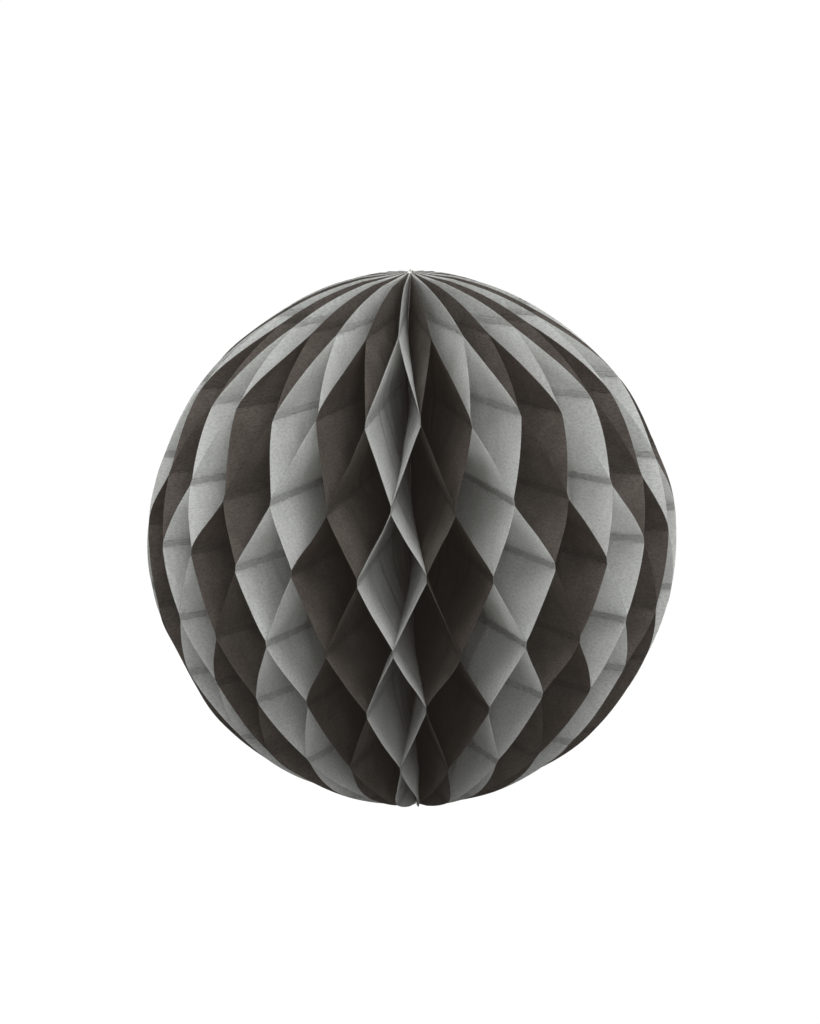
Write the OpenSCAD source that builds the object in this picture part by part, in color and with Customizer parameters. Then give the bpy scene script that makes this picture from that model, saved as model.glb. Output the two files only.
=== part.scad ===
// Paper honeycomb ball. Thin tissue leaves stand around a cotton spine thread and
// are glued to each other along rows of short glue lines, so that they open into
// cells. Two card covers close the fan at the back. Millimetres, Z up.

/* [Ball] */
// Diameter of the opened ball at its widest
ball_d = 200; // [100:10:300]
// Height of a flat leaf as a share of the ball diameter (opening the fan shortens it)
height_ratio = 1.091; // [1.05:0.001:1.12]
// Roundness of the leaf outline: 2 is an ellipse, less is leaner at mid height
profile_power = 1.95; // [1.85:0.01:2.1]
// The ball comes to a blunt point round the spine: by this much at the axis
pole_rise = 1.2; // [0:0.1:4]
// Distance from the axis where that point begins
pole_rise_r = 28; // [15:1:40]

/* [Leaves] */
// Distance between two glue rows, measured along the flat paper
row_pitch = 27.9; // [20:0.1:40]
// Height of the first glue row above the middle of the leaf
row_shift = 12.1; // [0:0.1:20]
// Height of the paper that one glue line holds together
glue_h = 3; // [1:0.2:5]
// Thickness of a leaf as built (real tissue is thinner)
paper_t = 0.2; // [0.1:0.05:0.5]
// Gap kept on each side of a glue plane
paper_gap = 0.03; // [0.02:0.01:0.1]
// Distance from the axis to the folded inner edge of a leaf
leaf_inner_r = 2.6; // [2.4:0.1:6]

/* [Covers] */
// Thickness of one card cover
card_t = 0.4; // [0.3:0.05:1.2]
// Space between the two covers where the pads sit
card_space = 0.2; // [0.1:0.05:1]
// Distance from the axis to the straight inner edge of a cover
card_inner_r = 10; // [8:1:25]
// Radius of the rounded cover corners
card_corner_r = 4; // [1:0.5:8]

/* [Spine] */
// Diameter of the cotton spine thread
thread_d = 1.2; // [0.8:0.1:2.4]
// Diameter of the knots that end the thread
knot_d = 2.8; // [2.6:0.1:4.4]

/* [Pads] */
// Diameter of one adhesive closure pad
pad_d = 16; // [8:1:25]
// Height of the pads above and below the middle
pad_z = 52; // [20:1:75]

/* [Hidden] */

ball_r = ball_d / 2;
leaf_count = 52;
half_h = ball_r * height_ratio;
lowest_row = -floor((half_h * 0.95 + row_shift) / row_pitch);
highest_row = floor((half_h * 0.95 - row_shift) / row_pitch);
// Distance from the seam plane to the leaf side of a cover, and to the end leaf
card_side = card_space / 2 + card_t;
end_side = card_side + paper_gap + paper_t / 2;
// The two end leaves start as far out as the covers, so that they stay clear of them
end_inner_r = card_inner_r;
seam_half = asin(end_side / ball_r);
leaf_step = (360 - 2 * seam_half) / leaf_count;
tip_r = 4;
tip_s = half_h * leaf_share(tip_r / ball_r);
// Opening the cells draws the rows together along the rim: by this share at the
// widest part, and less towards the poles, where the leaves hardly spread
draw_in = 1 - sqrt(1 - pow(ball_r * leaf_step * PI / 180 / row_pitch, 2));
// The knots sit a little below the leaf tips
knot_z = rim_z(tip_s) + pole_z(tip_s, tip_r) - 0.8;

dark_paper = [0.16, 0.14, 0.13];
grey_paper = [0.62, 0.62, 0.62];
card_grey = [0.55, 0.50, 0.44];
thread_white = [0.93, 0.92, 0.88];

// Angle of a leaf, measured from the front (-Y) towards +X
function leaf_angle(i) = (i - (leaf_count + 1) / 2) * leaf_step;
// Leaves come in pairs of one colour
function is_dark(i) = abs(floor((i - leaf_count / 2) / 2)) % 2 == 1;
function out_dir(a) = [sin(a), -cos(a)];
function side_dir(a) = [cos(a), sin(a)];

// Outline of a flat leaf: the share of its reach left at a share of its height
function leaf_share(t) = pow(max(0, 1 - pow(abs(t), profile_power)), 1 / profile_power);
// Radius of the cut edge at a height on the flat paper
function rim_r(s) = ball_r * leaf_share(s / half_h);
// Height of the cut edge once the fan is open
function rim_z(s) = s - draw_in * (s - pow(s, 3) / (3 * half_h * half_h));
// The spine edge is gathered evenly along the thread
function spine_z(s) = s * rim_z(half_h) / half_h;

// Extra height close to the axis, near the upper and lower ends of a leaf only
function pole_z(s, v) = let(t = max(0, min(1, (abs(s) / half_h - 0.8) / 0.2)))
    sign(s) * pole_rise * pow(max(0, 1 - v / pole_rise_r), 2) * t * t * (3 - 2 * t);

// One leaf is a list of stations [flat height, side], side running from -1 to 1
function row_s(k) = row_shift + k * row_pitch;
function row_side(k, i) = (k + i) % 2 == 0 ? -1 : 1;
function row_stations(k, i) = [
    [row_s(k) - glue_h / 2, row_side(k, i)],
    [row_s(k) + glue_h / 2, row_side(k, i)]];
function between(k) = [[row_s(k) + row_pitch / 2, 0]];
// Past its last glue row a leaf stays pressed against its partner up to the tip
function tip_station(share, side, up) = [up * half_h * leaf_share(share), side];
function end_stations(k, i, up) = [for (share = [0.3, 0.15, tip_r / ball_r])
    tip_station(share, row_side(k, i), up)];
function stations(i) = concat(
    [for (j = [2, 1, 0]) end_stations(lowest_row, i, -1)[j]],
    [for (k = [lowest_row : highest_row]) for (p = concat(row_stations(k, i),
        k < highest_row ? between(k) : [])) p],
    end_stations(highest_row, i, 1));

// Middle of the paper at distance v from the axis, on the side plane of a leaf
function side_point(i, side, v) = i == 1 && side < 0 ? [-end_side, v]
    : i == leaf_count && side > 0 ? [end_side, v]
    : v * out_dir(leaf_angle(i)) + side * (v * tan(leaf_step / 2)
        - (paper_gap + paper_t / 2) / cos(leaf_step / 2)) * side_dir(leaf_angle(i));
function mid_point(i, side, v) = side == 0 ? v * out_dir(leaf_angle(i))
    : side_point(i, side, v);
function paper_point(i, side, v, face) = mid_point(i, side, v)
    + face * paper_t / 2 * side_dir(leaf_angle(i));

// Four corners of the paper at one station: inner and outer edge, both faces
function station_ring(i, st) = let(
    inner = i == 1 || i == leaf_count ? end_inner_r : leaf_inner_r,
    r = max(rim_r(st[0]), tip_r),
    v = r * cos(st[1] * leaf_step / 2),
    v_in = min(inner, v - 1),
    z = rim_z(st[0]) + pole_z(st[0], v),
    z_in = spine_z(st[0]) + pole_z(st[0], v_in),
    a = paper_point(i, st[1], v_in, -1),
    b = paper_point(i, st[1], v, -1),
    c = paper_point(i, st[1], v, 1),
    d = paper_point(i, st[1], v_in, 1))
    [[a[0], a[1], z_in], [b[0], b[1], z], [c[0], c[1], z], [d[0], d[1], z_in]];

// Triangles between the rings of stations j and j + 1. Both faces of the paper are
// split along the same diagonal, so that the paper keeps its thickness.
function quad_faces(p, q, flip) = flip ? [[p, p + 4, q + 4], [p, q + 4, q]]
    : [[p, p + 4, q], [q, p + 4, q + 4]];
function ring_faces(j) = [for (e = [0 : 3])
    for (f = quad_faces(4 * j + e, 4 * j + (e + 1) % 4, e == 2)) f];

module tissue_leaf(i) {
    st = stations(i);
    n = len(st);
    color(is_dark(i) ? dark_paper : grey_paper)
        polyhedron(
            points = [for (s = st) for (p = station_ring(i, s)) p],
            faces = concat([[0, 1, 2], [0, 2, 3]],
                [for (j = [0 : n - 2]) for (f = ring_faces(j)) f],
                [[4 * n - 4, 4 * n - 2, 4 * n - 3], [4 * n - 4, 4 * n - 1, 4 * n - 2]]),
            convexity = 10);
}

// Half disc of card, drawn with its straight edge towards the spine
module card_outline() {
    offset(r = card_corner_r)
        offset(delta = -card_corner_r)
            intersection() {
                circle(r = ball_r - 0.5, $fn = 96);
                translate([0 - ball_r, card_inner_r])
                    square([2 * ball_r, ball_r]);
            }
}

module card_cover(side) {
    color(card_grey)
        translate([side * (card_space / 2 + card_t / 2), 0, 0])
            rotate([0, 90, 0])
                linear_extrude(height = card_t, center = true)
                    card_outline();
}

module closure_pad(z) {
    color(thread_white)
        translate([0, ball_r * 0.62, z])
            rotate([0, 90, 0])
                cylinder(d = pad_d, h = card_space - 0.04, center = true, $fn = 48);
}

module thread_knot(z, up) {
    color(thread_white)
        translate([0, 0, z])
            rotate_extrude($fn = 32)
                intersection() {
                    translate([0, up * 0.2])
                        scale([1, 0.8])
                            circle(d = knot_d, $fn = 24);
                    translate([0, -knot_d])
                        square([knot_d, 2 * knot_d]);
                }
}

module leaf_01() tissue_leaf(1);
module leaf_02() tissue_leaf(2);
module leaf_03() tissue_leaf(3);
module leaf_04() tissue_leaf(4);
module leaf_05() tissue_leaf(5);
module leaf_06() tissue_leaf(6);
module leaf_07() tissue_leaf(7);
module leaf_08() tissue_leaf(8);
module leaf_09() tissue_leaf(9);
module leaf_10() tissue_leaf(10);
module leaf_11() tissue_leaf(11);
module leaf_12() tissue_leaf(12);
module leaf_13() tissue_leaf(13);
module leaf_14() tissue_leaf(14);
module leaf_15() tissue_leaf(15);
module leaf_16() tissue_leaf(16);
module leaf_17() tissue_leaf(17);
module leaf_18() tissue_leaf(18);
module leaf_19() tissue_leaf(19);
module leaf_20() tissue_leaf(20);
module leaf_21() tissue_leaf(21);
module leaf_22() tissue_leaf(22);
module leaf_23() tissue_leaf(23);
module leaf_24() tissue_leaf(24);
module leaf_25() tissue_leaf(25);
module leaf_26() tissue_leaf(26);
module leaf_27() tissue_leaf(27);
module leaf_28() tissue_leaf(28);
module leaf_29() tissue_leaf(29);
module leaf_30() tissue_leaf(30);
module leaf_31() tissue_leaf(31);
module leaf_32() tissue_leaf(32);
module leaf_33() tissue_leaf(33);
module leaf_34() tissue_leaf(34);
module leaf_35() tissue_leaf(35);
module leaf_36() tissue_leaf(36);
module leaf_37() tissue_leaf(37);
module leaf_38() tissue_leaf(38);
module leaf_39() tissue_leaf(39);
module leaf_40() tissue_leaf(40);
module leaf_41() tissue_leaf(41);
module leaf_42() tissue_leaf(42);
module leaf_43() tissue_leaf(43);
module leaf_44() tissue_leaf(44);
module leaf_45() tissue_leaf(45);
module leaf_46() tissue_leaf(46);
module leaf_47() tissue_leaf(47);
module leaf_48() tissue_leaf(48);
module leaf_49() tissue_leaf(49);
module leaf_50() tissue_leaf(50);
module leaf_51() tissue_leaf(51);
module leaf_52() tissue_leaf(52);
module cover_a() card_cover(-1);
module cover_b() card_cover(1);
module pad_upper() closure_pad(pad_z);
module pad_lower() closure_pad(-pad_z);

module spine_thread() {
    color(thread_white)
        cylinder(d = thread_d, h = 2 * knot_z, center = true, $fn = 24);
}

module top_knot() thread_knot(knot_z, 1);
module bottom_knot() thread_knot(-knot_z, -1);

leaf_01();
leaf_02();
leaf_03();
leaf_04();
leaf_05();
leaf_06();
leaf_07();
leaf_08();
leaf_09();
leaf_10();
leaf_11();
leaf_12();
leaf_13();
leaf_14();
leaf_15();
leaf_16();
leaf_17();
leaf_18();
leaf_19();
leaf_20();
leaf_21();
leaf_22();
leaf_23();
leaf_24();
leaf_25();
leaf_26();
leaf_27();
leaf_28();
leaf_29();
leaf_30();
leaf_31();
leaf_32();
leaf_33();
leaf_34();
leaf_35();
leaf_36();
leaf_37();
leaf_38();
leaf_39();
leaf_40();
leaf_41();
leaf_42();
leaf_43();
leaf_44();
leaf_45();
leaf_46();
leaf_47();
leaf_48();
leaf_49();
leaf_50();
leaf_51();
leaf_52();
cover_a();
cover_b();
pad_upper();
pad_lower();
spine_thread();
top_knot();
bottom_knot();
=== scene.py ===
import bpy
import math
import numpy as np
from mathutils import Matrix, Vector


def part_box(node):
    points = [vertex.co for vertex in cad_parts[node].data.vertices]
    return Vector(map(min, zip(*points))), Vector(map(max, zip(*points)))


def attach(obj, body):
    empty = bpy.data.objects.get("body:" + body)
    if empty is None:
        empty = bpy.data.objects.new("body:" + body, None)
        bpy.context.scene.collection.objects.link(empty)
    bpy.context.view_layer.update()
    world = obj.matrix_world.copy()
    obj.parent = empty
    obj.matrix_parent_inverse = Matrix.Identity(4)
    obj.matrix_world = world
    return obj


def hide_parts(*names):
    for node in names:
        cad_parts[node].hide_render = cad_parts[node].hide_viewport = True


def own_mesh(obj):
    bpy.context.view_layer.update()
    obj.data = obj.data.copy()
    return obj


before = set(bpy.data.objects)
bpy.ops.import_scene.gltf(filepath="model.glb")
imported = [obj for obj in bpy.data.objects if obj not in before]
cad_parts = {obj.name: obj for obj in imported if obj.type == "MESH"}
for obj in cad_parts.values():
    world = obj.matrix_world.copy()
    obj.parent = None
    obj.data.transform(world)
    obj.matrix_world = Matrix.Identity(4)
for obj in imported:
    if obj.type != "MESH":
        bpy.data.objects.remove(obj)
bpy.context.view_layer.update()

# ---------------------------------------------------------------- sizes, in metres
BALL_R = 0.1                  # radius of the opened ball
HEIGHT_RATIO = 1.091          # half height of a flat leaf over the ball radius
ROW_PITCH = 0.0279            # between two glue rows, on the flat paper
ROW_SHIFT = 0.0121            # height of row 0 on the flat paper
LOWEST_ROW, HIGHEST_ROW = -4, 3
GLUE_H = 0.0030               # height of one glue line
PAPER_T = 0.00007             # thickness of the tissue as drawn
PAPER_GAP = 0.00002           # from a glue plane to the paper on each side of it
LEAF_INNER_R = 0.0014         # where the leaves are bound to the thread
END_INNER_R = 0.010           # the two end leaves start as far out as the covers
END_SIDE = 0.00063            # from the seam plane to the middle of an end leaf
TIP_R = 0.0024                # a leaf's outer edge ends this far from the axis
LEAF_COUNT = 52

SEAM_HALF = math.asin(END_SIDE / BALL_R)
LEAF_STEP = (2 * math.pi - 2 * SEAM_HALF) / LEAF_COUNT
HALF_STEP = LEAF_STEP / 2
HALF_H = BALL_R * HEIGHT_RATIO
# Opening the cells draws the rows together at the rim: by this share at the widest part
DRAW_IN = 1 - math.sqrt(1 - (BALL_R * LEAF_STEP / ROW_PITCH) ** 2)

PROFILE_POWER = 1.95          # a touch leaner than an ellipse at mid height
POLE_FROM = 0.8               # share of the height above which the tips rise, sag and lean
POLE_RISE, POLE_RISE_R = 0.0012, 0.028   # the ball comes to a blunt point round the thread
POLE_SAG, POLE_SAG_R = 0.0042, 0.040     # the lower point hangs further out, under the weight of the paper

# Sheets are printed and stacked a little out of step, in a pattern four leaves long
ROW_STEP = [-0.0005, 0.0022, -0.0017, -0.0001]
NODE_WANDER = 0.0004          # how far a glue line strays along the rim, as a rule
WANDER_SHARES = (1.0, 0.8, 0.35)    # share of that along the rim, up, and outwards
WANDER_LIMIT = 1.6            # and at most this many times as far
WANDER_SEED, LEAF_SEED = 11, 700    # for the random draws
RIM_SOFT, SPINE_SOFT = 0.04, 0.60   # how far a leaf bends in an S between its glue lines
TOP_LEAN = 0.0012             # the upper tips and the thread end lean this far to the right
TIP_DIMPLE, TIP_DIMPLE_R = 0.0005, 0.0022   # the thread draws the upper inner corners in: how far, how wide
DIMPLE_FROM = 0.95            # share of the height above which it does
TIP_FAN_R = 0.020             # nearer the axis than this the tips fan out evenly
BULGE = 0.0009                # how far slack paper stands out between its glue lines
RIPPLE, RIPPLE_AT_RIM = 0.00016, 0.35    # depth of the long ripples, and the share left at the rim
END_RIPPLE = 0.00008          # ripple of an end leaf where it lies against its cover
RADIAL_STATIONS = 24          # points from the spine to the rim; closest together at the rim
RADIAL_CROWDING = 1.8
STRIP_PARTS = 12              # steps in height between two glue lines; closest beside the lines
STRIP_CROWDING = 0.09
TIP_PARTS = 10                # steps in height from the last glue line to a tip
UV_MARGIN, UV_WIDE, UV_HIGH = 0.02, 0.46, 0.96   # where one side of a leaf lies in the UV map

# ---------------------------------------------------------------- paper pattern
CLOUD_SCALE, FIBRE_SCALE, GRAIN_SCALE = 70.0, 1300.0, 2200.0   # noise cells per metre
BREAK_SCALE, STRAY_SCALE = 800.0, 240.0  # what breaks up the glue bands, and what bends them
RUMPLE_SCALE, FOLD_SCALE = 150.0, 34.0   # wrinkles beside the glue lines, and folds beside the spine
BAND_STRAY = 0.0022           # how far a glue band strays from its row
SHEET_SHIFT = 0.37            # each leaf takes its pattern from another stretch of paper
PAPER_RELIEF = 0.00024        # depth of the paper's surface


# ---------------------------------------------------------------- leaf shape
def leaf_angle(i):
    """Angle of leaf i from the front (-Y) towards +X."""
    return (i - (LEAF_COUNT + 1) / 2) * LEAF_STEP


def out_dir(a):
    return np.array([math.sin(a), -math.cos(a)])


def side_dir(a):
    return np.array([math.cos(a), math.sin(a)])


def row_s(k):
    return ROW_SHIFT + k * ROW_PITCH


def rim_r(s):
    """Radius of the cut edge of a leaf at a height on the flat paper."""
    inside = max(0.0, 1 - (abs(s) / HALF_H) ** PROFILE_POWER)
    return max(BALL_R * inside ** (1 / PROFILE_POWER), TIP_R)


def rim_z(s):
    """Height of the cut edge of the open leaf at a height on the flat paper."""
    return s - DRAW_IN * (s - s ** 3 / (3 * HALF_H ** 2))


def spine_z(s):
    """Height of the spine edge, which is gathered evenly along the thread."""
    return s * rim_z(HALF_H) / HALF_H


def row_side(k, i):
    """Side on which leaf i is glued at row k: -1 or 1."""
    return -1.0 if (k + i) % 2 == 0 else 1.0


def is_dark(i):
    """Two dark leaves and two grey ones in turn."""
    return abs((i - LEAF_COUNT // 2) // 2) % 2 == 1


def node_wander():
    """Small shifts of each glue line: along the rim, up, and outwards. One per glue plane and row."""
    rng = np.random.default_rng(WANDER_SEED)
    rows = HIGHEST_ROW - LOWEST_ROW + 1
    w = rng.normal(0, 1, (LEAF_COUNT + 1, rows, 3)).clip(-WANDER_LIMIT, WANDER_LIMIT)
    w *= NODE_WANDER * np.array(WANDER_SHARES)
    for j in range(LEAF_COUNT + 1):
        w[j, :, 1] += ROW_STEP[(j - LEAF_COUNT // 2) % 4]
    # The glue planes at the two covers stay where they are
    w[0] = w[LEAF_COUNT] = 0
    return w


WANDER = node_wander()


def height_stations():
    """Heights on the flat paper where the mesh has points, from the lower tip to the upper one."""
    tip = HALF_H * (1 - (TIP_R / BALL_R) ** PROFILE_POWER) ** (1 / PROFILE_POWER)
    out = []
    low, high = row_s(LOWEST_ROW) - GLUE_H / 2, row_s(HIGHEST_ROW) + GLUE_H / 2
    for t in np.linspace(0, 1, TIP_PARTS + 1)[:-1]:
        out.append(-tip + (low + tip) * math.sin(t * math.pi / 2))
    for k in range(LOWEST_ROW, HIGHEST_ROW + 1):
        out += [row_s(k) - GLUE_H / 2, row_s(k), row_s(k) + GLUE_H / 2]
        if k < HIGHEST_ROW:
            a, b = row_s(k) + GLUE_H / 2, row_s(k + 1) - GLUE_H / 2
            for n in range(1, STRIP_PARTS):
                t = n / STRIP_PARTS
                out.append(a + (b - a) * (t - STRIP_CROWDING * math.sin(2 * math.pi * t)))
    for t in np.linspace(0, 1, TIP_PARTS + 1)[1:]:
        out.append(high + (tip - high) * (1 - math.cos(t * math.pi / 2)))
    return np.array(out)


HEIGHTS = height_stations()


def smooth(t):
    """Ease from 0 to 1."""
    return t * t * (3 - 2 * t)


def tip_share(height, start=POLE_FROM):
    """0 up to a share of the half height, easing to 1 at the tip."""
    return smooth(max(0.0, height / HALF_H - start) / (1 - start))


def strip_state(s, i):
    """Where a flat height lies on leaf i: the two sides it runs between, the share, and the rows."""
    if s < row_s(LOWEST_ROW):
        t = (row_s(LOWEST_ROW) - GLUE_H / 2 - s) / (HALF_H + row_s(LOWEST_ROW) - GLUE_H / 2)
        side = row_side(LOWEST_ROW, i)
        return side, 0.0, max(0.0, t), LOWEST_ROW, LOWEST_ROW
    if s > row_s(HIGHEST_ROW):
        t = (s - row_s(HIGHEST_ROW) - GLUE_H / 2) / (HALF_H - row_s(HIGHEST_ROW) - GLUE_H / 2)
        side = row_side(HIGHEST_ROW, i)
        return side, 0.0, max(0.0, t), HIGHEST_ROW, HIGHEST_ROW
    k = int(math.floor((s - ROW_SHIFT) / ROW_PITCH + 1e-9))
    k = max(LOWEST_ROW, min(HIGHEST_ROW - 1, k))
    a, b = row_s(k) + GLUE_H / 2, row_s(k + 1) - GLUE_H / 2
    t = min(1.0, max(0.0, (s - a) / (b - a)))
    return row_side(k, i), row_side(k + 1, i), t, k, k + 1


def leaf_grid(i):
    """Middle of the paper of leaf i: points [height, radius, xyz], and their place on the flat paper."""
    rng = np.random.default_rng(LEAF_SEED + i)
    angle = leaf_angle(i)
    e, n = out_dir(angle), side_dir(angle)
    inner = END_INNER_R if i in (1, LEAF_COUNT) else LEAF_INNER_R
    rho = 1 - (np.arange(RADIAL_STATIONS) / (RADIAL_STATIONS - 1)) ** RADIAL_CROWDING
    rho = rho[::-1]
    tan_half = math.tan(HALF_STEP)
    # Long waves in the paper: size, and how fast and from where they run up it and across it
    waves = [(rng.uniform(0.5, 1.0), rng.uniform(18, 34), rng.uniform(0, 6.28), rng.uniform(5, 15),
              rng.uniform(0, 6.28)) for _ in range(4)]
    bulges = {k: rng.normal(0, 1) for k in range(LOWEST_ROW - 1, HIGHEST_ROW + 2)}
    pts = np.zeros((len(HEIGHTS), RADIAL_STATIONS, 3))
    flat = np.zeros((len(HEIGHTS), RADIAL_STATIONS, 3))
    for a, s in enumerate(HEIGHTS):
        s0, s1, t, k0, k1 = strip_state(s, i)
        r_rim = rim_r(s)
        r_in = min(inner, r_rim - 0.001)
        j0 = i if s0 > 0 else i - 1
        w0 = WANDER[j0, k0 - LOWEST_ROW]
        if k0 == k1:
            w = w0 * (1 - smooth(min(1.0, t)))
            tight = s0
        else:
            j1 = i if s1 > 0 else i - 1
            w = w0 + (WANDER[j1, k1 - LOWEST_ROW] - w0) * smooth(t)
            # The rim is pulled straight from one glue line to the next
            tight = ((1 - t) * s0 * rim_r(row_s(k0)) + t * s1 * rim_r(row_s(k1))) / r_rim
        for b, q in enumerate(rho):
            # Tight and straight at the rim; slack and S-shaped towards the spine.
            # Past its last glue row a leaf stays pressed against its partner, until its tip fans out.
            soft = RIM_SOFT + SPINE_SOFT * (1 - q)
            if k0 == k1:
                side = s0 * smooth(min(1.0, r_rim / TIP_FAN_R))
            else:
                side = tight + soft * (s1 - s0) * (smooth(t) - t)
                side = max(-1.0, min(1.0, side))
            v = r_in + (r_rim * math.cos(side * HALF_STEP) - r_in) * q
            v += w[2] * q
            lean = abs(side)
            room = v * tan_half - PAPER_GAP - PAPER_T / 2
            cross = side * room
            # Slack paper bulges and ripples between its glue lines, never past them
            free = math.sin(math.pi * t) if k0 != k1 else 0.0
            slack = (4 * q * (1 - q)) ** 0.8
            ripple = sum(size * math.sin(up * s / BALL_R + up_from)
                         * math.sin(across * v / BALL_R + across_from)
                         for size, up, up_from, across, across_from in waves)
            cross += free * (bulges[k0] * BULGE * slack + ripple * RIPPLE * (RIPPLE_AT_RIM + slack))
            cross = max(-room, min(room, cross))
            p = v * e + cross * n
            if (i == 1 and side < 0) or (i == LEAF_COUNT and side > 0):
                board = np.array([-END_SIDE if i == 1 else END_SIDE, v])
                p = (1 - lean) * (v * e) + lean * board
                p[0] += free * ripple * END_RIPPLE * (-1 if i == 1 else 1)
            p = p + w[0] * q * n * lean
            z = spine_z(s) * (1 - q) + rim_z(s) * q + w[1] * q * r_rim / BALL_R
            pole = max(0.0, 1 - v / (POLE_RISE_R if s > 0 else POLE_SAG_R)) ** 2
            pole *= tip_share(abs(s))
            if s > 0:
                p = p + np.array([TOP_LEAN * pole, 0.0])
                # The upper inner corners are drawn in by the thread
                corner = math.exp(-((v - LEAF_INNER_R) / TIP_DIMPLE_R) ** 2)
                z += POLE_RISE * pole - TIP_DIMPLE * corner * tip_share(s, DIMPLE_FROM)
            else:
                z -= POLE_SAG * pole
            pts[a, b] = (p[0], p[1], z)
            flat[a, b] = (v, s, (1 - q) * (r_rim - r_in))
    return pts, flat


def leaf_mesh(i, name):
    """Leaf i as a thin closed sheet, with its place on the flat paper as an attribute and as UVs."""
    pts, flat = leaf_grid(i)
    rows, cols = pts.shape[:2]
    d_row = np.gradient(pts, axis=0)
    d_col = np.gradient(pts, axis=1)
    normal = np.cross(d_col, d_row)
    normal /= np.linalg.norm(normal, axis=2, keepdims=True) + 1e-12
    front = pts - normal * PAPER_T / 2
    back = pts + normal * PAPER_T / 2
    co = np.concatenate([front.reshape(-1, 3), back.reshape(-1, 3)])
    count = rows * cols
    idx = np.arange(count).reshape(rows, cols)
    a, b, c, d = idx[:-1, :-1], idx[:-1, 1:], idx[1:, 1:], idx[1:, :-1]
    front_faces = np.stack([a, d, c, b], -1).reshape(-1, 4)
    back_faces = np.stack([a, b, c, d], -1).reshape(-1, 4) + count
    # The cut edge: one narrow face all the way round between the two sides of the paper
    loop = np.concatenate([idx[0, :-1], idx[:-1, -1], idx[-1, :0:-1], idx[:0:-1, 0]])
    ahead = np.roll(loop, -1)
    edge_faces = np.stack([loop, ahead, ahead + count, loop + count], -1)
    faces = np.concatenate([front_faces, back_faces, edge_faces])
    mesh = bpy.data.meshes.new(name)
    mesh.from_pydata(co.tolist(), [], faces.tolist())
    mesh.validate()
    mesh.update()
    smooth_faces = np.arange(len(faces)) < len(faces) - len(edge_faces)
    mesh.polygons.foreach_set("use_smooth", smooth_faces)
    # Place on the flat paper, for the procedural paper
    data = np.concatenate([flat.reshape(-1, 3), flat.reshape(-1, 3)])
    place = data.copy()
    place[:, 0] += i * SHEET_SHIFT
    place[:, 2] = 0.0
    att = mesh.attributes.new("paper", "FLOAT_VECTOR", "POINT")
    att.data.foreach_set("vector", place.astype(np.float32).ravel())
    att = mesh.attributes.new("rim_gap", "FLOAT", "POINT")
    att.data.foreach_set("value", data[:, 2].astype(np.float32))
    # The two sides of the paper lie beside each other in the UV map
    uv = mesh.uv_layers.new(name="UVMap")
    u = UV_MARGIN + UV_WIDE * data[:, 0] / BALL_R
    u[count:] += 0.5
    v = UV_MARGIN + UV_HIGH * (data[:, 1] + HALF_H) / (2 * HALF_H)
    loops = np.zeros(len(mesh.loops), dtype=np.int32)
    mesh.loops.foreach_get("vertex_index", loops)
    uv.data.foreach_set("uv", np.stack([u[loops], v[loops]], -1).astype(np.float32).ravel())
    return mesh


# ---------------------------------------------------------------- materials
class Nodes:
    """Short hand for building a node material."""

    def __init__(self, name):
        self.mat = bpy.data.materials.new(name)
        self.mat.use_nodes = True
        self.tree = self.mat.node_tree
        self.tree.nodes.clear()
        self.out = self.tree.nodes.new("ShaderNodeOutputMaterial")

    def put(self, kind, sockets=None, **props):
        node = self.tree.nodes.new(kind)
        for key, value in props.items():
            setattr(node, key, value)
        for key, value in (sockets or {}).items():
            self.set(node.inputs[key], value)
        return node

    def set(self, socket, value):
        if isinstance(value, bpy.types.NodeSocket):
            self.tree.links.new(value, socket)
        else:
            socket.default_value = value

    def math(self, op, a, b=None):
        node = self.put("ShaderNodeMath", operation=op)
        self.set(node.inputs[0], a)
        if b is not None:
            self.set(node.inputs[1], b)
        return node.outputs[0]

    def ramp(self, value, lo, hi, out_lo=0.0, out_hi=1.0):
        node = self.put("ShaderNodeMapRange", interpolation_type="SMOOTHSTEP")
        ends = {"Value": value, "From Min": lo, "From Max": hi, "To Min": out_lo, "To Max": out_hi}
        for key, v in ends.items():
            self.set(node.inputs[key], v)
        return node.outputs[0]

    def mix(self, share, a, b, kind="MIX"):
        node = self.put("ShaderNodeMix", data_type="RGBA", blend_type=kind)
        self.set(node.inputs["Factor"], share)
        self.set(node.inputs["A"], a)
        self.set(node.inputs["B"], b)
        return node.outputs["Result"]

    def noise(self, vector, scale, detail=3.0, rough=0.55):
        node = self.put("ShaderNodeTexNoise", {"Scale": scale, "Detail": detail, "Roughness": rough})
        self.set(node.inputs["Vector"], vector)
        return node.outputs["Fac"]

    def stretch(self, vector, scale):
        node = self.put("ShaderNodeVectorMath", operation="MULTIPLY")
        self.set(node.inputs[0], vector)
        node.inputs[1].default_value = scale
        return node.outputs[0]


def rgba(c, share=1.0):
    return (c[0] * share, c[1] * share, c[2] * share, 1.0)


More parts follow.
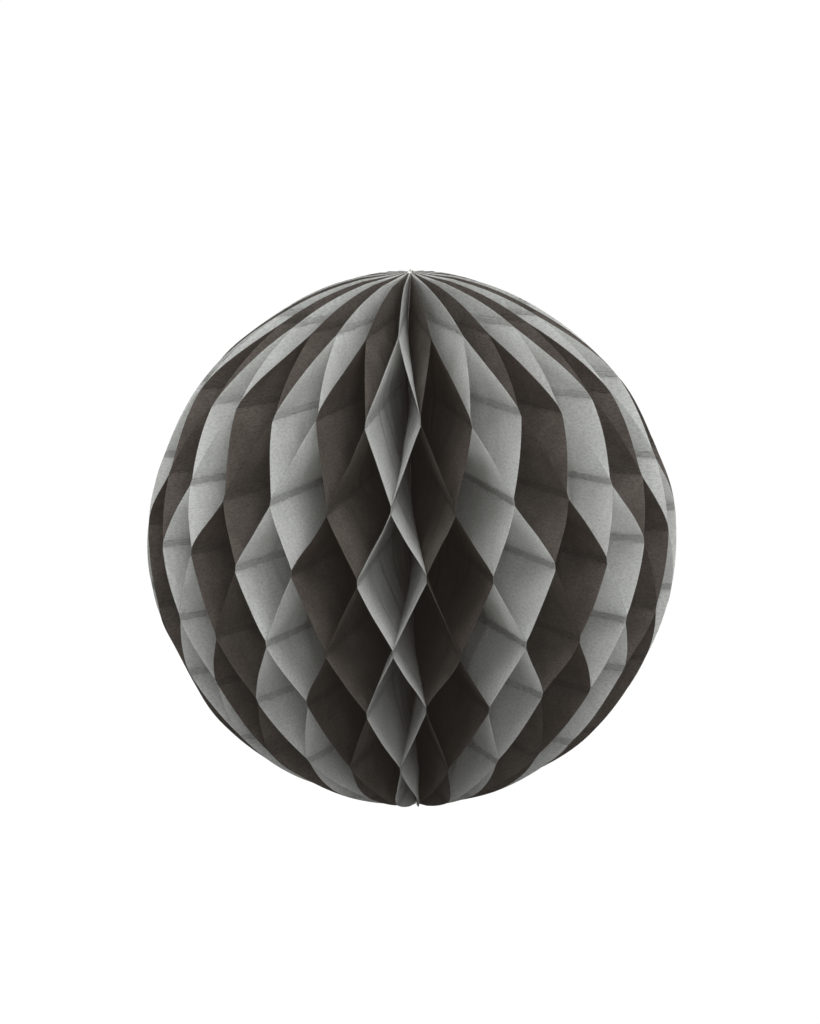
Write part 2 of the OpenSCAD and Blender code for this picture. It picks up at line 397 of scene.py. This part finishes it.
def tissue(name, base, deep, thin, glow, see_through):
    """Tissue paper: speckled fibres, cloudy formation, glue bands darkened partly by the glue and partly
    with painted shade, creases and folds darkened with painted shade, and a cut edge darkened with painted
    shade.
    """
    m = Nodes(name)
    place = m.put("ShaderNodeAttribute", attribute_name="paper").outputs["Vector"]
    gap = m.put("ShaderNodeAttribute", attribute_name="rim_gap").outputs["Fac"]
    cloud = m.noise(place, CLOUD_SCALE, 3.0, 0.6)
    fibre = m.noise(m.stretch(place, (0.5, 1.0, 1.0)), FIBRE_SCALE, 4.0, 0.7)
    grain = m.noise(m.stretch(place, (0.7, 1.0, 1.0)), GRAIN_SCALE, 2.0, 0.6)
    colour = m.mix(m.ramp(cloud, 0.30, 0.72), rgba(base), rgba(thin))
    colour = m.mix(m.math("MULTIPLY", m.ramp(fibre, 0.40, 0.66), 0.58), colour, rgba(deep))
    colour = m.mix(m.math("MULTIPLY", m.ramp(grain, 0.48, 0.70), 0.42), colour, rgba(thin))

    # Distance to the nearest glue row, along the flat paper
    height = m.put("ShaderNodeSeparateXYZ", {"Vector": place}).outputs["Y"]
    stray = m.math("SUBTRACT", m.noise(place, STRAY_SCALE, 3.0), 0.5)
    wavy = m.math("ADD", height, m.math("MULTIPLY", stray, BAND_STRAY))
    turns = m.math("DIVIDE", m.math("SUBTRACT", wavy, ROW_SHIFT), ROW_PITCH)
    from_row = m.math("ABSOLUTE", m.math("SUBTRACT", turns, m.math("ROUND", turns)))
    off = m.math("MULTIPLY", from_row, ROW_PITCH)
    # A soft darker band at each glue line, partly the glue seen through the paper and partly painted shade
    # of the fold, and two sharp creases along its upper and lower side, darkened with painted shade
    broken = m.noise(m.stretch(place, (0.5, 2.6, 1.0)), BREAK_SCALE, 3.0, 0.6)
    band = m.ramp(off, 0.0002, 0.0018, 1.0, 0.0)
    from_side = m.math("ABSOLUTE", m.math("SUBTRACT", off, GLUE_H * 0.36))
    crease = m.ramp(from_side, 0.00008, 0.00042, 1.0, 0.0)
    crease = m.math("MULTIPLY", crease, m.ramp(broken, 0.40, 0.62, 0.0, 1.0))
    # Darken the glue bands (the glue showing through, plus painted shade of the fold) and paint shade into
    # the two creases
    colour = m.mix(m.math("MULTIPLY", band, m.ramp(broken, 0.32, 0.66, 0.10, 0.62)), colour, rgba(deep))
    colour = m.mix(m.math("MULTIPLY", crease, 0.40), colour, rgba(deep, 0.55))

    # Long soft folds rise beside the spine, where the paper is gathered; painted shade darkens them
    swell = m.noise(m.stretch(place, (1.0, 0.30, 1.0)), FOLD_SCALE, 1.0, 0.5)
    ridge = m.math("ABSOLUTE", m.math("SUBTRACT", swell, 0.5))
    inside = m.ramp(gap, 0.006, 0.030, 0.0, 1.0)
    gather = m.math("MULTIPLY", m.ramp(ridge, 0.0, 0.050, 1.0, 0.0), inside)
    # Painted shade along the folds
    colour = m.mix(m.math("MULTIPLY", gather, 0.40), colour, rgba(deep))
    # Painted shade on the cut edge, so that it catches less light
    edge = m.ramp(gap, 0.00002, 0.00008, 1.0, 0.0)
    colour = m.mix(m.math("MULTIPLY", edge, 0.75), colour, rgba(deep, 0.5))

    # Slack wrinkles run out of the creases, strongest close to them
    rumple = m.noise(m.stretch(place, (1.7, 0.6, 1.0)), RUMPLE_SCALE, 3.0, 0.55)
    near = m.ramp(off, 0.0015, 0.0085, 1.0, 0.30)
    relief = m.math("MULTIPLY", fibre, 0.35)
    for part, depth in ((m.math("MULTIPLY", rumple, near), 3.4), (gather, -2.0), (crease, -0.9),
                        (m.math("MULTIPLY", band, broken), 1.4)):
        relief = m.math("ADD", relief, m.math("MULTIPLY", part, depth))
    bump = m.put("ShaderNodeBump", {"Strength": 0.6, "Distance": PAPER_RELIEF, "Height": relief})
    face = m.put("ShaderNodeBsdfPrincipled", {"Base Color": colour,
                 "Roughness": m.ramp(fibre, 0.3, 0.7, 0.62, 0.82),
                 "Specular IOR Level": 0.25, "Normal": bump.outputs[0]})
    # Light that comes through is tinted by the same fibres
    tint = rgba([glow[n] / base[n] for n in range(3)])
    through = m.mix(1.0, colour, tint, "MULTIPLY")
    behind = m.put("ShaderNodeBsdfTranslucent", {"Color": through, "Normal": bump.outputs[0]})
    both = m.put("ShaderNodeMixShader", {"Fac": see_through, 1: face.outputs[0], 2: behind.outputs[0]})
    m.set(m.out.inputs["Surface"], both.outputs[0])
    return m.mat


def plain_paper(name, base, deep, fleck, scale, rough_low, rough_high, bump_depth):
    """Card, pad film or cotton: two-tone fibre colour, flecks and a fine relief."""
    m = Nodes(name)
    place = m.put("ShaderNodeTexCoord").outputs["Object"]
    cloud = m.noise(place, scale * 0.12, 3.0, 0.6)
    fibre = m.noise(m.stretch(place, (1.0, 1.0, 0.3)), scale, 4.0, 0.65)
    spots = m.noise(place, scale * 0.6, 1.0, 0.4)
    colour = m.mix(m.ramp(cloud, 0.3, 0.7), rgba(base), rgba(deep))
    colour = m.mix(m.math("MULTIPLY", m.ramp(fibre, 0.4, 0.65), 0.4), colour, rgba(deep))
    colour = m.mix(m.ramp(spots, 0.68, 0.74, 0.0, 0.5), colour, rgba(fleck))
    bump = m.put("ShaderNodeBump", {"Strength": 0.6, "Distance": bump_depth, "Height": fibre})
    face = m.put("ShaderNodeBsdfPrincipled", {"Base Color": colour,
                 "Roughness": m.ramp(fibre, 0.3, 0.7, rough_low, rough_high),
                 "Specular IOR Level": 0.3, "Normal": bump.outputs[0]})
    m.set(m.out.inputs["Surface"], face.outputs[0])
    return m.mat


DARK = tissue("tissue_dark_paper", base=(0.100, 0.086, 0.075), deep=(0.053, 0.045, 0.039),
              thin=(0.158, 0.138, 0.123), glow=(0.28, 0.235, 0.20), see_through=0.30)
GREY = tissue("tissue_grey_paper", base=(0.80, 0.81, 0.795), deep=(0.55, 0.555, 0.54),
              thin=(0.89, 0.90, 0.89), glow=(0.89, 0.90, 0.88), see_through=0.58)
CARD = plain_paper("cover_card", base=(0.50, 0.45, 0.38), deep=(0.40, 0.35, 0.29), fleck=(0.25, 0.20, 0.15),
                   scale=900.0, rough_low=0.7, rough_high=0.9, bump_depth=0.0001)
PAD = plain_paper("pad_film", base=(0.90, 0.88, 0.82), deep=(0.80, 0.78, 0.72), fleck=(0.95, 0.94, 0.90),
                  scale=700.0, rough_low=0.35, rough_high=0.5, bump_depth=0.00005)
COTTON = plain_paper("cotton_thread", base=(0.92, 0.91, 0.87), deep=(0.78, 0.76, 0.70),
                     fleck=(0.97, 0.96, 0.93), scale=2500.0, rough_low=0.8, rough_high=0.95,
                     bump_depth=0.00004)


# ---------------------------------------------------------------- pieces
def add_object(name, mesh, material):
    obj = bpy.data.objects.new(name, mesh)
    bpy.context.scene.collection.objects.link(obj)
    mesh.materials.append(material)
    return obj


for leaf in range(1, LEAF_COUNT + 1):
    node = "leaf_%02d" % leaf
    name = "tissue_%02d" % leaf
    dark = is_dark(leaf)
    piece = add_object(name, leaf_mesh(leaf, name), DARK if dark else GREY)
    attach(piece, node + "_body")
    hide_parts(node)
    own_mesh(piece)


def tube(path, radius, sides):
    """Closed tube mesh data along an open path of points."""
    path = np.array(path)
    along = np.gradient(path, axis=0)
    along /= np.linalg.norm(along, axis=1, keepdims=True)
    ref = np.array([0.3, 0.9, 0.1])
    verts, faces = [], []
    for p, d in zip(path, along):
        x = ref - d * ref.dot(d)
        x /= np.linalg.norm(x)
        ref = x
        y = np.cross(d, x)
        for n in range(sides):
            a = 2 * math.pi * n / sides
            verts.append(p + radius * (math.cos(a) * x + math.sin(a) * y))
    for r in range(len(path) - 1):
        for n in range(sides):
            a, b = r * sides + n, r * sides + (n + 1) % sides
            faces.append((a, b, b + sides, a + sides))
    faces.append(tuple(range(sides))[::-1])
    faces.append(tuple(range((len(path) - 1) * sides, len(path) * sides)))
    return verts, faces


def mesh_from(name, parts):
    """One mesh from several tubes, with flat ends and smooth sides."""
    verts, faces = [], []
    for v, f in parts:
        base = len(verts)
        verts += [tuple(p) for p in v]
        faces += [tuple(base + n for n in face) for face in f]
    mesh = bpy.data.meshes.new(name)
    mesh.from_pydata(verts, [], faces)
    mesh.validate()
    mesh.update()
    for poly in mesh.polygons:
        poly.use_smooth = len(poly.vertices) == 4
    return mesh


# Spine thread: three plies twisted together
thread_low, thread_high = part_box("spine_thread")
PLY_R, PLY_TURN_R = 0.00032, 0.00028     # radius of one ply, and of the helix it follows
TWIST = 0.0032                # height of one turn of the plies
PLY_STEPS, PLY_SIDES = 520, 8
parts = []
for ply in range(3):
    path = []
    for z in np.linspace(thread_low[2] - POLE_SAG + POLE_RISE, thread_high[2], PLY_STEPS):
        a = 2 * math.pi * (z / TWIST + ply / 3)
        path.append((TOP_LEAN * tip_share(z) + PLY_TURN_R * math.cos(a), PLY_TURN_R * math.sin(a), z))
    parts.append(tube(path, PLY_R, PLY_SIDES))
piece = add_object("cotton_spine", mesh_from("cotton_spine", parts), COTTON)
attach(piece, "spine")
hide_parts("spine_thread")


KNOT_WIDE, KNOT_HIGH = 0.00022, 0.00034  # half size of one loop of the knot
KNOT_R, END_R = 0.00030, 0.00032         # radius of the thread in the knot, and of its loose end
KNOT_STEPS, KNOT_SIDES = 96, 10


def knot_path(centre, up):
    """A tight overhand knot: a trefoil drawn up on itself."""
    path = []
    for t in np.linspace(0, 2 * math.pi, KNOT_STEPS):
        x = math.sin(t) + 1.7 * math.sin(2 * t)
        y = math.cos(t) - 1.7 * math.cos(2 * t)
        z = -1.15 * math.sin(3 * t)
        path.append((centre[0] + x * KNOT_WIDE, centre[1] + y * KNOT_WIDE, centre[2] + up * z * KNOT_HIGH))
    return path


for name, node, up in (("cotton_knot_top", "top_knot", 1), ("cotton_knot_bottom", "bottom_knot", -1)):
    low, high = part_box(node)
    centre = [(low[n] + high[n]) / 2 for n in range(3)]
    centre[0] += TOP_LEAN * tip_share(centre[2])
    if up < 0:
        centre[2] -= POLE_SAG - POLE_RISE
    body = tube(knot_path(centre, up), KNOT_R, KNOT_SIDES)
    # The loose end: across, back to front, and how far it stands out of the knot
    rise = ((0.0, 0.0002, 0.0), (0.0002, 0.0003, 0.0007),
            (0.0003, 0.0002, 0.0013), (0.0003, -0.0001, 0.0019))
    end = tube([(centre[0] + x, y, centre[2] + up * z) for x, y, z in rise], END_R, KNOT_SIDES)
    piece = add_object(name, mesh_from(name, [body, end]), COTTON)
    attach(piece, "spine")
    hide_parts(node)

for node, material in (("cover_a", CARD), ("cover_b", CARD), ("pad_upper", PAD), ("pad_lower", PAD)):
    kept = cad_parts[node]
    kept.data.materials.clear()
    kept.data.materials.append(material)


# ---------------------------------------------------------------- camera
def add_camera():
    """Long lens, a little above the ball and to its right, tipped by one degree."""
    azimuth, elevation, roll = math.radians(4.32), math.radians(15.3), math.radians(1.02)
    distance = 11.4 * BALL_R
    sensor = 36.0             # width of the sensor, mm
    fill = 0.2573             # radius of the ball over the long side of the frame
    back = Vector((math.sin(azimuth) * math.cos(elevation), -math.cos(azimuth) * math.cos(elevation),
                   math.sin(elevation)))
    data = bpy.data.cameras.new("camera")
    data.sensor_width = sensor
    data.lens = fill * sensor * distance / BALL_R
    data.clip_start, data.clip_end = 0.01, 50.0
    cam = bpy.data.objects.new("camera", data)
    bpy.context.scene.collection.objects.link(cam)
    spin = (-back).to_track_quat("-Z", "Y").to_matrix().to_4x4()
    right, up = spin.col[0].xyz, spin.col[1].xyz
    # The ball sits a little below and right of the middle of the frame
    aim = up * (0.1031 * BALL_R) - right * (0.005 * BALL_R)
    eye = back * distance
    look = (aim - eye).to_track_quat("-Z", "Y").to_matrix().to_4x4()
    cam.matrix_world = Matrix.Translation(eye) @ look @ Matrix.Rotation(-roll, 4, "Z")
    bpy.context.scene.camera = cam


add_camera()


# ---------------------------------------------------------------- stage and light
FLOOR_LIGHT, WALL_LIGHT, BACK_LIGHT = 0.24, 0.71, 0.77   # how brightly the studio lights the ball
WORLD_LIGHT = 1.1
SEEN_LIGHT = 1.02             # what the camera sees of the studio: just over white
WHITE = (1.0, 1.0, 1.0, 1.0)
BLACK_LEVEL = (-0.0102, -0.0082, -0.0066)   # below zero, so that black paper stays warm grey


def add_stage():
    """Pale floor that curves up into a pale wall all round, far from the ball."""
    radius, floor_z, bend, height = 4.0, -0.62, 1.2, 4.2
    bend_parts = 12
    profile = [(0.02, floor_z), (radius - bend, floor_z)]
    for n in range(1, bend_parts + 1):
        a = n / bend_parts * math.pi / 2
        profile.append((radius - bend + bend * math.sin(a), floor_z + bend - bend * math.cos(a)))
    profile.append((radius, floor_z + height))
    sides = 64
    verts, faces = [(0.0, 0.0, floor_z)], []
    for r, z in profile:
        for n in range(sides):
            a = 2 * math.pi * n / sides
            verts.append((r * math.cos(a), r * math.sin(a), z))
    for n in range(sides):
        faces.append((0, 1 + n, 1 + (n + 1) % sides))
    for k in range(len(profile) - 1):
        for n in range(sides):
            a, b = 1 + k * sides + n, 1 + k * sides + (n + 1) % sides
            faces.append((a, b, b + sides, a + sides))
    mesh = bpy.data.meshes.new("studio_floor")
    mesh.from_pydata(verts, [], faces)
    for poly in mesh.polygons:
        poly.use_smooth = True
    # Seen by the camera the studio is even white. It lights the ball softly: more from
    # above and behind than from the floor and the front.
    m = Nodes("studio_white")
    where = m.put("ShaderNodeSeparateXYZ", {"Vector": m.put("ShaderNodeTexCoord").outputs["Object"]})
    high = m.ramp(where.outputs["Z"], floor_z, 2.6, FLOOR_LIGHT, WALL_LIGHT)
    back = m.ramp(where.outputs["Y"], 0.0, 3.6, 0.0, BACK_LIGHT)
    strength = m.math("MAXIMUM", high, back)
    seen = m.put("ShaderNodeLightPath").outputs["Is Camera Ray"]
    strength = m.math("MAXIMUM", strength, m.math("MULTIPLY", seen, SEEN_LIGHT))
    lit = m.put("ShaderNodeEmission", {"Color": WHITE, "Strength": strength})
    m.set(m.out.inputs["Surface"], lit.outputs[0])
    stage = bpy.data.objects.new("studio_floor", mesh)
    bpy.context.scene.collection.objects.link(stage)
    mesh.materials.append(m.mat)


def add_light(name, where, size, power):
    """A round soft light that points at the middle of the ball."""
    data = bpy.data.lights.new(name, "AREA")
    data.shape = "DISK"
    data.size = size
    data.energy = power
    light = bpy.data.objects.new(name, data)
    light.location = where
    light.rotation_euler = (-Vector(where)).to_track_quat("-Z", "Y").to_euler()
    light.visible_camera = False
    bpy.context.scene.collection.objects.link(light)


add_stage()
add_light("key", where=(0.7, -0.9, 2.2), size=1.2, power=22.8)
add_light("front", where=(0.55, -2.6, 0.72), size=1.4, power=16.3)

scene = bpy.context.scene
world = bpy.data.worlds.new("studio")
world.use_nodes = True
sky = world.node_tree.nodes["Background"]
sky.inputs["Color"].default_value = WHITE
sky.inputs["Strength"].default_value = WORLD_LIGHT
scene.world = world
# Light goes through many sheets before it dies out between them
scene.cycles.max_bounces = 16
scene.cycles.diffuse_bounces = 12
# A soft toe, as paper in a bright white room has no true black
scene.view_settings.view_transform = "Standard"
scene.view_settings.use_curve_mapping = True
scene.view_settings.curve_mapping.black_level = BLACK_LEVEL
scene.view_settings.curve_mapping.update()
